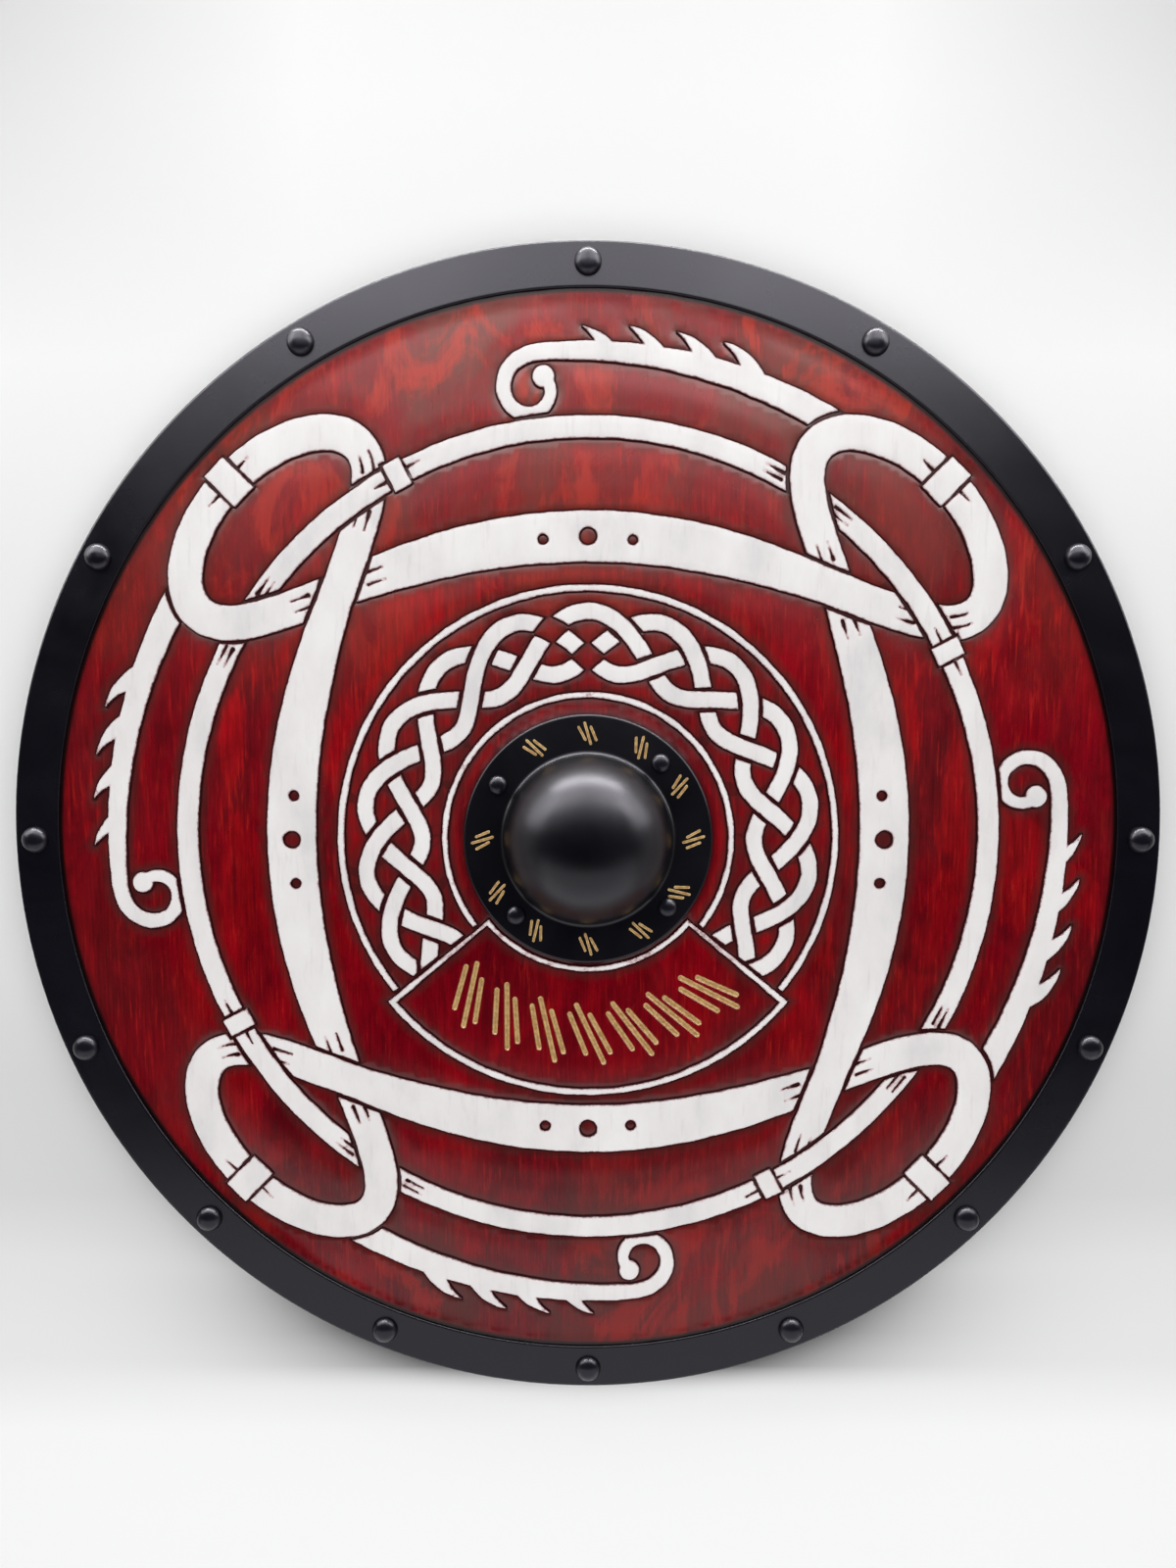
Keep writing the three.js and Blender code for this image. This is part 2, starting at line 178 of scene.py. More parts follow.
def alternate(strands):
    """Every pass of a crossing as [strand, index, over], over and under in turns."""
    passes = []
    for i, a, j, b in crossings(strands):
        passes += [[i, a, None], [j, b, None]]
    neighbours = {k: [k ^ 1] for k in range(len(passes))}
    for i in range(len(strands)):
        row = sorted((k for k in neighbours if passes[k][0] == i), key=lambda k: passes[k][1])
        for a, b in zip(row, row[1:] + row[:1]):
            neighbours[a].append(b)
            neighbours[b].append(a)
    for seed in neighbours:
        if passes[seed][2] is None:
            passes[seed][2] = True
            todo = [seed]
            while todo:
                k = todo.pop()
                for other in neighbours[k]:
                    if passes[other][2] is None:
                        passes[other][2] = not passes[k][2]
                        todo.append(other)
    return passes


# ---- distance fields on a flat grid
class Grid:
    """A square grid over the shield's face that holds signed distances."""

    FAR = 40.0
    OUTSIDE = 20.0

    def __init__(self, reach, step):
        self.reach, self.step = reach, step
        self.axis = np.arange(-reach, reach + step / 2, step)
        self.x, self.y = np.meshgrid(self.axis, self.axis)
        self.radius = np.hypot(self.x, self.y)
        self.angle = np.arctan2(self.y, self.x)

    def empty(self):
        return np.full(self.x.shape, self.FAR)

    def window(self, low, high):
        a, b = (np.array([low, high]) + self.reach) / self.step
        lo = np.clip(np.floor(a).astype(int), 0, len(self.axis))
        hi = np.clip(np.ceil(b).astype(int) + 1, 0, len(self.axis))
        return slice(lo[1], hi[1]), slice(lo[0], hi[0])

    def discs(self, points, half, margin=14.0):
        """Distance to a row of discs, with the window of the grid that it covers."""
        grow = half.max() + margin
        rows, columns = self.window(points.min(0) - grow, points.max(0) + grow)
        field = np.full((rows.stop - rows.start, columns.stop - columns.start), self.FAR)
        for (x, y), radius in zip(points, half):
            r, c = self.window((x - radius - margin, y - radius - margin),
                               (x + radius + margin, y + radius + margin))
            here = field[r.start - rows.start:r.stop - rows.start,
                         c.start - columns.start:c.stop - columns.start]
            away = np.hypot(self.axis[c][None] - x, self.axis[r][:, None] - y) - radius
            np.minimum(here, away, out=here)
        return field, (rows, columns)

    def stamp(self, field, points, half):
        part, window = self.discs(np.atleast_2d(points), np.atleast_1d(half))
        np.minimum(field[window], part, out=field[window])

    def sector(self, inner, outer, middle, half):
        away = np.abs((self.angle - middle + math.pi) % TURN - math.pi)
        radial = np.maximum(inner - self.radius, self.radius - outer)
        return np.maximum(radial, (away - half) * self.radius)

    def bar(self, start, end, half):
        """Distance to a straight stroke with round ends."""
        run = end - start
        share = ((self.x - start[0]) * run[0] + (self.y - start[1]) * run[1]) / (run @ run)
        share = np.clip(share, 0, 1)
        return np.hypot(self.x - start[0] - share * run[0], self.y - start[1] - share * run[1]) - half

    def sample(self, field, points):
        """The field's value at each point, and OUTSIDE for those beyond the grid."""
        values = np.full(len(points), self.OUTSIDE)
        inside = np.abs(points).max(1) < self.reach - 1
        at = (points[inside] + self.reach) / self.step
        low = np.clip(np.floor(at).astype(int), 0, len(self.axis) - 2)
        u, v = (at - low).T
        i, j = low.T
        top = field[j, i] * (1 - u) + field[j, i + 1] * u
        bottom = field[j + 1, i] * (1 - u) + field[j + 1, i + 1] * u
        values[inside] = top * (1 - v) + bottom * v
        return values


def weave(grid, field, strands, nicked=False):
    """Adds woven strands to the field; nicked ones dive under between small cuts."""
    least_skew, spare, margin = 0.35, 1.25, 10.0
    passes = alternate(strands)
    for i, strand in enumerate(strands):
        unders = sorted((p[1], k) for k, p in enumerate(passes) if p[0] == i and not p[2])
        for n, (start, k_start) in enumerate(unders):
            end, k_end = unders[(n + 1) % len(unders)]
            if n == len(unders) - 1:
                end += len(strand.points)
            at = strand.index(np.arange(start, end + 1))
            part, window = grid.discs(strand.points[at], strand.half[at])
            for k, place, way in ((k_start, start, 1), (k_end, end, -1)):
                other, crossing = strands[passes[k ^ 1][0]], passes[k ^ 1][1]
                angle = strand.heading(place) - other.heading(crossing)
                skew = max(abs(math.sin(angle)), least_skew)
                width = other.half[other.index(crossing)] + strand.half[strand.index(place)]
                reach = int(spare * (width + UNDER_GAP) / skew / other.step)
                beside = other.index(np.arange(crossing - reach, crossing + reach + 1))
                cut, cut_window = grid.discs(other.points[beside], other.half[beside], margin)
                trim(part, window, cut - UNDER_GAP, cut_window)
                if nicked:
                    first = place + way * int((other.half.mean() + UNDER_GAP) / skew / strand.step)
                    for side in NICK["sides"]:
                        trim(part, window, *nick_beside(grid, strand, first, way, side))
            np.minimum(field[window], part, out=field[window])


def trim(part, window, cut, cut_window):
    """Cuts one windowed field away from another where they overlap."""
    rows, columns = (slice(max(a.start, b.start), min(a.stop, b.stop))
                     for a, b in zip(window, cut_window))
    if rows.start >= rows.stop or columns.start >= columns.stop:
        return

    def view(array, place):
        return array[rows.start - place[0].start:rows.stop - place[0].start,
                     columns.start - place[1].start:columns.stop - place[1].start]
    here = view(part, window)
    np.maximum(here, -view(cut, cut_window), out=here)


def nick_beside(grid, strand, first, way, side):
    """A tapered cut along a ribbon from where it comes out from under."""
    at = strand.index(first + way * np.arange(int(NICK["length"] / strand.step)))
    heading = np.array([strand.heading(int(k)) for k in at])
    across = polar(1.0, heading + QUARTER) * (strand.half[at] * side)[:, None]
    return tapered_cut(grid, strand.points[at] + across, NICK)


def tapered_cut(grid, points, size):
    """Distance to a cut along some points, which narrows away from the first."""
    margin = 6.0
    return grid.discs(points, np.linspace(size["wide"], size["narrow"], len(points)), margin)


# ---- the carved ornament
def ring_strand():
    """The looped ring, whose ribbon is widest where it comes nearest the boss."""
    swell_from, swell_over = 0.55, 0.45
    t = np.linspace(0, TURN, 4000, endpoint=False)
    wave = np.cos(RING["loops"] * t)
    angle = TURN / 8 + t - RING["lean"] * np.sin(RING["loops"] * t)
    swell = np.clip((-wave - swell_from) / swell_over, 0, 1)
    half = RING["half"] + RING["swell"] * swell
    return Strand(polar(RING["radius"] + RING["swing"] * wave, angle), half)


def hoop_strand():
    start_angle = 0.05
    t = np.linspace(0, TURN, 2000, endpoint=False) + start_angle
    return Strand(polar(HOOP["radius"], t), HOOP["half"])


def plait_strand(index):
    t = np.linspace(0, TURN, 3000, endpoint=False)
    wave = np.cos(PLAIT["waves"] * t + TURN * index / PLAIT["strands"])
    return Strand(polar(PLAIT["radius"] + PLAIT["swing"] * wave, t + QUARTER), PLAIT["half"], step=0.8)


def grown(start, heading, length, curvature, steps=600):
    """Points and headings of a path that turns by a curvature along its length."""
    step = length / steps
    bend = curvature((np.arange(steps) + 0.5) * step) * step
    headings = heading + np.r_[0, np.cumsum(bend)]
    middle = headings[:-1] + bend / 2
    moves = np.stack([np.cos(middle), np.sin(middle)], -1) * step
    return start + np.vstack([[0, 0], np.cumsum(moves, axis=0)]), headings


def tendril_field(grid):
    """Four thorned tendrils that spring from behind the loops and end in curls."""
    field = grid.empty()
    stem, curl = TENDRIL["stem"], TENDRIL["curl"]
    gentle, tight, tightest = (1 / TENDRIL_BENDS[k] for k in ("stem", "curl", "end"))

    def curvature(distance):
        share = np.clip((distance - stem) / curl, 0, 1)
        curling = smoothstep(distance, stem - 20, stem + 10)
        return gentle + (tight + share * (tightest - tight) - gentle) * curling

    angle = TENDRIL["angle"] * DEGREE
    start = polar(TENDRIL["radius"], angle)
    path, headings = grown(start, angle + QUARTER, stem + curl, curvature)
    half = np.linspace(TENDRIL["half"], TENDRIL["tip"], len(path))
    for k in range(4):
        spin = k * QUARTER
        grid.stamp(field, turned(path, spin)[::2], half[::2])
        grid.stamp(field, turned(path[-1], spin), TENDRIL["knob"])
        for at, size in THORNS:
            root = round(at * (len(path) - 1))
            spike, _ = grown(path[root], headings[root] - THORN["angle"] * DEGREE, size,
                             lambda distance: np.full_like(distance, THORN["curvature"]), 60)
            width = THORN["taper"] * size * np.linspace(1, 0, len(spike)) + THORN["tip"]
            grid.stamp(field, turned(spike, spin), width)
    return field


def collar(grid, field, strand, share, length, proud):
    """A band round a ribbon, set off by a groove and a small cut at each end."""
    groove = 2.0
    at = int(len(strand.points) * share)
    middle, heading = strand.points[at], strand.heading(at)
    c, s = math.cos(heading), math.sin(heading)
    forward, sideways = np.array([c, s]), np.array([-s, c])
    x, y = grid.x - middle[0], grid.y - middle[1]
    half = strand.half[at] + proud
    band = np.maximum(np.abs(x * c + y * s) - length / 2, np.abs(y * c - x * s) - half)
    for way in (-1, 1):
        start = middle + forward * way * (length / 2 + groove / 2)
        run = np.linspace(0, COLLAR_CUT["reach"], 12)[:, None] * forward * way
        side = sideways * half * COLLAR_CUT["side"] * way
        part, window = tapered_cut(grid, start + run + side, COLLAR_CUT)
        np.maximum(field[window], -part, out=field[window])
    np.maximum(field, groove - band, out=field)
    np.minimum(field, band, out=field)


def ribbon_field(grid):
    """The ring and the hoop woven together, with collars, tendrils and round holes."""
    ring, hoop = ring_strand(), hoop_strand()
    field = grid.empty()
    weave(grid, field, [ring, hoop], nicked=True)
    for k in range(RING["loops"]):
        share = k / RING["loops"]
        collar(grid, field, ring, share, **RING_COLLAR)
        collar(grid, field, hoop, share + HOOP_COLLAR_AT, **HOOP_COLLAR)
    field = np.minimum(field, np.maximum(tendril_field(grid), UNDER_GAP - field))
    for k in range(4):
        for angle, radius in HOLES:
            x, y = polar(RING["radius"] - RING["swing"], k * QUARTER + angle * DEGREE)
            field = np.maximum(field, radius - np.hypot(grid.x - x, grid.y - y))
    return field


def plait_field(grid):
    """The plait between its two border lines, broken off by the panel under the boss."""
    field = grid.empty()
    weave(grid, field, [plait_strand(k) for k in range(PLAIT["strands"])])
    for radius, half in PLAIT_BORDERS:
        field = np.minimum(field, np.abs(grid.radius - radius) - half)
    half, line = FAN["spread"] * DEGREE, FAN["line"]
    panel = grid.sector(FLANGE_RADIUS, FAN["outer"], -QUARTER, half)
    inside = grid.sector(FAN["inner"], FAN["outer"] - line, -QUARTER, half - line / FAN["outer"])
    border = np.maximum(panel, -inside)
    border = np.maximum(border, FLANGE_RADIUS + 3 - grid.radius)
    return np.minimum(np.maximum(field, UNDER_GAP - panel), border)


def ornament(grid):
    """Signed distance to the raised white ornament, negative inside it."""
    return np.minimum(ribbon_field(grid), plait_field(grid)) + uneven(grid)


def uneven(grid):
    """The slight waver of lines that are carved and painted by hand."""
    sideways = np.sin(grid.x / 5.3 + 1.9 * np.sin(grid.y / 8.7))
    upright = np.cos(grid.y / 4.7 + 1.6 * np.sin(grid.x / 7.9))
    return WAVER * sideways * upright


def stroke_field(grid):
    """Signed distance to the sheaves of slanted strokes in the panel."""
    field = grid.empty()
    longest = max(reach for _, reach in SHEAF)
    for group in range(STROKES["groups"]):
        sheaf = -90 + (group - (STROKES["groups"] - 1) / 2) * STROKES["pitch"]
        for place, reach in SHEAF:
            middle = sheaf + place * STROKES["apart"]
            tilt = STROKES["lean"] * reach / longest
            start, end = (polar(STROKES["radius"] + way * reach, (middle + way * tilt) * DEGREE)
                          for way in (-1, 1))
            field = np.minimum(field, grid.bar(start, end, STROKES["half"]))
    return field


# ---- contours and triangles
def contours(grid, field, level):
    """The closed lines where a field has a value, each as an array of points."""
    value = field - level
    value[value == 0] = 1e-6
    rows, columns = value.shape
    inside = value < 0
    links = {}

    def crossing(j, i, other_j, other_i):
        a, b = value[j, i], value[other_j, other_i]
        share = a / (a - b)
        return (grid.axis[i] + share * (other_i - i) * grid.step,
                grid.axis[j] + share * (other_j - j) * grid.step)

    mixed = inside[:-1, :-1].astype(int) + inside[:-1, 1:] + inside[1:, :-1] + inside[1:, 1:]
    for j, i in zip(*np.nonzero((mixed > 0) & (mixed < 4))):
        corners = ((j, i), (j, i + 1), (j + 1, i + 1), (j + 1, i))
        cuts = []
        for a, b in zip(corners, corners[1:] + corners[:1]):
            if inside[a] != inside[b]:
                cuts.append((min(a, b), max(a, b), inside[a]))
        if len(cuts) == 4 and not cuts[0][2]:
            cuts = cuts[1:] + cuts[:1]
        for k in range(0, len(cuts), 2):
            leave, enter = cuts[k], cuts[k + 1]
            if not leave[2]:
                leave, enter = enter, leave
            links[leave[:2]] = enter[:2]
    lines = []
    while links:
        key = first = next(iter(links))
        line = []
        while key in links:
            line.append(crossing(*key[0], *key[1]))
            key = links.pop(key)
        if key == first and len(line) > 8:
            lines.append(np.array(line))
    return lines


def simplified(line, tolerance, longest=14):
    """The points of a closed line that keep it within a tolerance, none far apart."""
    far = int(np.argmax(np.linalg.norm(line - line[0], axis=1)))
    keep = np.zeros(len(line), bool)
    keep[[0, far]] = True
    closed = np.vstack([line, line[:1]])
    todo = [(0, far), (far, len(line))]
    while todo:
        a, b = todo.pop()
        if b - a < 2:
            continue
        run = closed[b] - closed[a]
        length = max(np.hypot(*run), 1e-9)
        offset = closed[a + 1:b] - closed[a]
        away = np.abs(offset[:, 0] * run[1] - offset[:, 1] * run[0]) / length
        worst = int(np.argmax(away))
        if away[worst] > tolerance or length > longest:
            split = a + 1 + worst if away[worst] > tolerance else (a + b) // 2
            keep[split] = True
            todo += [(a, split), (split, b)]
    return line[keep]


class Flat:
    """Points and edges in the plane, made into triangles that keep the edges."""

    def __init__(self):
        self.points, self.edges, self.count = [], [], 0

    def loop(self, points):
        index = np.arange(len(points))
        self.edges.append(np.stack([index, np.roll(index, -1)], -1) + self.count)
        self.loose(points)

    def loose(self, points):
        self.points.append(points)
        self.count += len(points)

    def triangles(self):
        points = [Vector(p) for p in np.vstack(self.points)]
        edges = np.vstack(self.edges).tolist()
        merged_within = 1e-5
        flat, _, faces, *_ = geometry.delaunay_2d_cdt(points, edges, [], 0, merged_within, False)
        return np.array([tuple(p) for p in flat]), np.array(faces)


def circle(radius, count):
    return polar(radius, np.arange(count) / count * TURN)


def hexagons(reach, pitch):
    """A staggered lattice of points over the face."""
    rows = np.arange(-reach, reach, pitch * math.sqrt(3) / 2)
    columns = np.arange(-reach, reach, pitch)
    x, y = np.meshgrid(columns, rows)
    x[1::2] += pitch / 2
    return np.stack([x.ravel(), y.ravel()], -1)


# ---- mesh pieces
def placed(name, data):
    """A new object in the scene."""
    made = bpy.data.objects.new(name, data)
    bpy.context.scene.collection.objects.link(made)
    return made


def mesh_piece(name, points, faces, materials, replaces, crease):
    """A named object from points in millimetres, riding with the part. Its faces are
    smooth, with creases where they meet at more than an angle in degrees."""
    mesh = bpy.data.meshes.new(name)
    mesh.from_pydata((np.asarray(points) * MM).tolist(), [], [tuple(map(int, f)) for f in faces])
    for material in materials:
        mesh.materials.append(material)
    mesh.shade_smooth()
    mesh.set_sharp_from_angle(angle=math.radians(crease))
    piece = placed(name, mesh)
    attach(piece, "root")
    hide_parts(*replaces)
    return piece


def point_values(piece, name, values):
    """Gives each point of a mesh a number that its material can read."""
    layer = piece.data.attributes.new(name, "FLOAT", "POINT")
    layer.data.foreach_set("value", values)


def bridged(loops):
    """Quads between each loop of point numbers and the next."""
    count = len(loops[0])
    return [(a[k], a[(k + 1) % count], b[(k + 1) % count], b[k])
            for a, b in zip(loops, loops[1:]) for k in range(count)]


def lathe(profile, count, closed=False):
    """Points and faces of a profile of (radius, height) turned about the Z axis."""
    points, rings = [], []
    for radius, height in profile:
        if radius < 1e-6:
            rings.append([len(points)])
            points.append((0, 0, height))
        else:
            rings.append(range(len(points), len(points) + count))
            points += [(x, y, height) for x, y in circle(radius, count)]
    faces = []
    for a, b in zip(rings, rings[1:] + (rings[:1] if closed else [])):
        if len(a) == 1:
            faces += [(a[0], b[(k + 1) % count], b[k]) for k in range(count)]
        elif len(b) == 1:
            faces += [(a[k], a[(k + 1) % count], b[0]) for k in range(count)]
        else:
            faces += bridged([a, b])
    return points, faces


def arc(middle, radius, start, end, steps):
    """Profile points round a corner, angles in degrees."""
    return [(middle[0] + radius * math.cos(a), middle[1] + radius * math.sin(a))
            for a in np.radians(np.linspace(start, end, steps))]


# ---- the carved board
# Height above the board's face by distance from the edge of the white and of the gold.
WHITE_SECTION = ((-1.5, 0.0), (-0.5, -0.22), (0.0, -0.8), (0.6, -2.5), (1.5, -2.1), (15.0, -1.3))
GOLD_SECTION = ((-1.45, -1.5), (-0.8, -1.35), (0.0, -0.3), (0.35, 0.0))
BOARD_SIDES = 240
WHITE, GOLD, RED, BACK = range(4)


def board_face(grid, white, gold):
    """Flat triangles whose edges follow the carving, with spare points over the rest."""
    flat = Flat()
    for field, section, tolerance in ((white, WHITE_SECTION[:-1], 0.07), (gold, GOLD_SECTION, 0.05)):
        for level, _ in section:
            for line in contours(grid, field, level):
                flat.loop(simplified(line, tolerance))
    flat.loop(circle(BOARD_RADIUS, BOARD_SIDES))
    flat.loop(circle(HAND_HOLE, BOARD_SIDES))
    pitch, clear_of_white, clear_of_gold, margin = 4.6, 3.2, 2.2, 2
    spots = hexagons(RIM_INNER, pitch)
    radius = np.hypot(*spots.T)
    free = np.abs(grid.sample(white, spots)) > clear_of_white
    free &= grid.sample(gold, spots) > clear_of_gold
    flat.loose(spots[free & (radius < RIM_INNER - margin) & (radius > FLANGE_RADIUS - margin)])
    points, faces = flat.triangles()
    from_axis = np.hypot(*points[faces].mean(1).T)
    return points, faces[from_axis > HAND_HOLE * math.cos(math.pi / BOARD_SIDES)]


def relief(radius, edge, stroke):
    """Height above the board's face; the ground rises to it at the rim and the boss."""
    height = np.interp(edge, *zip(*WHITE_SECTION)) + np.interp(stroke, *zip(*GOLD_SECTION))
    at_rim = smoothstep(radius, RIM_INNER - 9, RIM_INNER - 1)
    at_boss = smoothstep(-radius, -FLANGE_RADIUS - 3, -FLANGE_RADIUS)
    return np.where(edge > 0, height * (1 - np.maximum(at_rim, at_boss)), height)


def board_walls(outer, inner, start):
    """The edge, back and hole wall between two loops of the face: points and quads."""
    bevel = 1.2
    corners = ((BOARD_RADIUS, BOARD_BACK), (HAND_HOLE + bevel, BOARD_BACK), (HAND_HOLE, BOARD_BACK + bevel))
    points = [np.column_stack([circle(size, BOARD_SIDES), np.full(BOARD_SIDES, level)])
              for size, level in corners]
    loops = [np.arange(BOARD_SIDES) + start + k * BOARD_SIDES for k in range(len(corners))]
    return np.vstack(points), bridged([inner, *loops[::-1], outer])


def carved_board():
    grid = Grid(reach=380.0, step=0.8)
    white, gold = ornament(grid), stroke_field(grid)
    points, faces = board_face(grid, white, gold)
    edge, stroke = grid.sample(white, points), grid.sample(gold, points)
    radius = np.hypot(*points.T)
    top = np.column_stack([points, BOARD_TOP + relief(radius, edge, stroke)])

    def loop_at(size):
        ring = np.nonzero(np.abs(radius - size) < 0.02)[0]
        return ring[np.argsort(np.arctan2(points[ring, 1], points[ring, 0]) % TURN)]
    walls, quads = board_walls(loop_at(BOARD_RADIUS), loop_at(HAND_HOLE), len(top))
    middle = points[faces].mean(1)
    slots = np.where(grid.sample(white, middle) < 0, WHITE, RED)
    slots = np.where(grid.sample(gold, middle) < 0, GOLD, slots)
    slots = np.r_[slots, np.full(len(quads), BACK)].astype(np.int32)
    piece = mesh_piece("carved_board", np.vstack([top, walls]), list(faces) + quads,
                       [white_paint(), gold_paint(), stained_wood(), back_wood()], ["board"], 25)
    piece.data.polygons.foreach_set("material_index", slots)
    beyond = np.full(len(walls), Grid.OUTSIDE)
    point_values(piece, "edge", np.r_[edge, beyond])
    point_values(piece, "stroke", np.r_[stroke, beyond])


# ---- materials
class Nodes:
    """The node tree of a material or world; inputs take numbers, colours or other outputs."""

    def __init__(self, owner):
        owner.use_nodes = True
        self.tree = owner.node_tree

    def put(self, socket, value):
        if isinstance(value, bpy.types.NodeSocket):
            self.tree.links.new(value, socket)
        else:
            socket.default_value = (*value, 1) if socket.type == "RGBA" else value

    def add(self, kind, inputs=(), **settings):
        node = self.tree.nodes.new("ShaderNode" + kind)
        for key, value in settings.items():
            setattr(node, key, value)
        for key, value in dict(inputs).items():
            self.put(node.inputs[key], value)
        return node

    def range(self, value, low, high, to_low=0.0, to_high=1.0, **settings):
        node = self.add("MapRange", {"Value": value, "From Min": low, "From Max": high,
                                     "To Min": to_low, "To Max": to_high}, **settings)
        return node.outputs[0]


class Shader(Nodes):
    """A material whose patterns lie in the part's own space, in metres."""

    def __init__(self, name):
        self.material = bpy.data.materials.new(name)
        super().__init__(self.material)
        self.surface = self.tree.nodes["Principled BSDF"]
        self.coords = self.add("TexCoord").outputs["Object"]

    def noise(self, scale, upright=1, detail=4.0, roughness=0.55, twist=0.0, across=1):
        mapped = self.add("Mapping", {"Vector": self.coords, "Scale": (across, upright, 1)})
        made = self.add("TexNoise", {"Vector": mapped.outputs[0], "Scale": scale, "Detail": detail,
                                     "Roughness": roughness, "Distortion": twist})
        return made.outputs["Fac"]

    def math(self, operation, a, b=0.0, clamp=False):
        return self.add("Math", {0: a, 1: b}, operation=operation, use_clamp=clamp).outputs[0]

    def ramp(self, value, stops):
        node = self.add("ValToRGB", {"Fac": value})
        elements = node.color_ramp.elements
        while len(elements) < len(stops):
            elements.new(0.5)
        for element, (place, colour) in zip(elements, stops):
            element.position = place
            element.color = (*colour, 1)
        return node.outputs["Color"]

    def greys(self, value, stops):
        return self.ramp(value, [(place, (grey,) * 3) for place, grey in stops])

    def mix(self, share, a, b, blend="MIX"):
        return self.add("Mix", {0: share, 6: a, 7: b}, data_type="RGBA", blend_type=blend).outputs[2]

    def layered(self, colour, *layers):
        """Lays further colours over a first one, each by its own share."""
        for share, over in layers:
            colour = self.mix(share, colour, over)
        return colour

    def shaded(self, colour, *factors):
        """Makes a colour darker or lighter by each factor in turn."""
        for factor in factors:
            colour = self.mix(1.0, colour, factor, "MULTIPLY")
        return colour

    def product(self, value, *factors):
        for factor in factors:
            value = self.math("MULTIPLY", value, factor)
        return value

    def attribute(self, name):
        return self.add("Attribute", attribute_name=name).outputs["Fac"]

    def length(self, vector):
        return self.add("VectorMath", {0: vector}, operation="LENGTH").outputs["Value"]

    def bump(self, height, distance, strength):
        return self.add("Bump", {"Height": height, "Distance": distance, "Strength": strength}).outputs[0]

    def done(self, **inputs):
        for key, value in inputs.items():
            self.put(self.surface.inputs[key.replace("_", " ")], value)
        return self.material


# Painted sheen: how light the stain is by place, from the shield's foot to its top, darker at the foot and
# lighter towards the top as under the light from above.
PAINTED_SHEEN_GRADE = ((0.0, 0.6), (0.2, 0.72), (0.45, 0.82), (0.62, 1.0))

# The stain's own tones, what lies over it with a pale painted sheen at the top, the dark band beside the
# carving, painted shade in the grooves and painted shadow along the rim and the flange.
DRIFT = ((0.34, (0.11, 0.0004, 0.0048)), (0.47, (0.172, 0.0004, 0.0055)),
         (0.58, (0.21, 0.0006, 0.0058)), (0.7, (0.26, 0.0012, 0.006)))
TONE = dict(
    haze=(0.092, 0.006, 0.0075), brushed=(0.38, 0.0025, 0.005), flame=(0.33, 0.007, 0.007),
    streak=(0.37, 0.013, 0.009), speck=(0.27, 0.0095, 0.009), shade=(0.062, 0.0006, 0.0045),
    ring=(0.3, 0.006, 0.007), pale=(0.33, 0.014, 0.009), brown=(0.135, 0.039, 0.025),
    blaze=(0.46, 0.03, 0.014), soot=(0.06, 0.0135, 0.0105), glow=(0.29, 0.012, 0.009),
    low_bank=(0.05, 0.015, 0.0135), bank_with_painted_sheen=(0.095, 0.03, 0.022),
    groove=(0.026, 0.005, 0.006), grime=(0.02, 0.003, 0.004), seam=(0.002, 0.0008, 0.0012))


def stained_wood():
    """Lacquered crimson stain over upright grain, lighter towards the top as painted sheen, and darker
    beside the carved edges with painted shade in the grooves.
    """
    s = Shader("red_stained_wood")
    grain = s.noise(640, 0.03, 5, 0.7)
    streaks = s.noise(430, 0.085, 3, 0.6, 0.2)
    specks = s.noise(700, 0.45, 4, 0.7)
    flames = s.noise(210, 0.075, 4, 0.55, 0.3)
    drift = s.noise(17, 0.42, 6, 0.62, 0.7)
    patch = s.noise(11, 0.36, 5, 0.55, 1.1)
    mottle = s.noise(52, 0.5, 5, 0.6, 0.8)
    haze = s.noise(7.5, 0.5, 6, 0.6, 0.5)
    rings = s.math("SINE", s.product(s.noise(4.5, 0.16, 2, 0.4), 150))
    along = s.range(s.add("SeparateXYZ", {0: s.coords}).outputs["Y"], -0.4, 0.4)
    upper = s.range(along, 0.6, 0.92)
    ragged_ends = s.range(streaks, 0.3, 0.7, -0.03, 0.03)

    brushed = s.product(s.range(s.math("ADD", patch, ragged_ends), 0.565, 0.605),
                        s.range(flames, 0.36, 0.62, 0.45, 1.0), s.range(along, 0.32, 0.62, 0.28, 0.62))
    shown = s.product(s.range(streaks, 0.56, 0.68), s.range(patch, 0.38, 0.56, 0.12, 0.6))
    colour = s.layered(
        s.ramp(drift, DRIFT),
        (s.range(haze, 0.52, 0.66, 0.0, 0.6), TONE["haze"]),
        (brushed, TONE["brushed"]),
        (s.range(flames, 0.6, 0.72, 0.0, 0.38), TONE["flame"]),
        (shown, TONE["streak"]),
        (s.range(specks, 0.58, 0.74, 0.0, 0.38), TONE["speck"]),
        (s.range(flames, 0.43, 0.3, 0.0, 0.3), TONE["shade"]),
        (s.range(rings, 0.88, 1.0, 0.0, 0.16), TONE["ring"]))
    # Grain and mottle, then the painted sheen that makes the stain lighter towards the top.
    colour = s.shaded(colour, s.range(grain, 0.3, 0.7, 0.64, 1.28),
                      s.range(mottle, 0.36, 0.64, 0.8, 1.19), s.greys(along, PAINTED_SHEEN_GRADE))
    colour = top_and_foot(s, colour, along, upper, ragged_ends)
    colour = dark_edges(s, colour, upper)
    height = s.math("ADD", s.product(grain, 0.6), s.product(specks, 0.5))
    rough = s.range(haze, 0.36, 0.64, 0.235, 0.3)
    return s.done(Base_Color=colour, Roughness=rough, Normal=s.bump(height, 0.0003, 0.2))


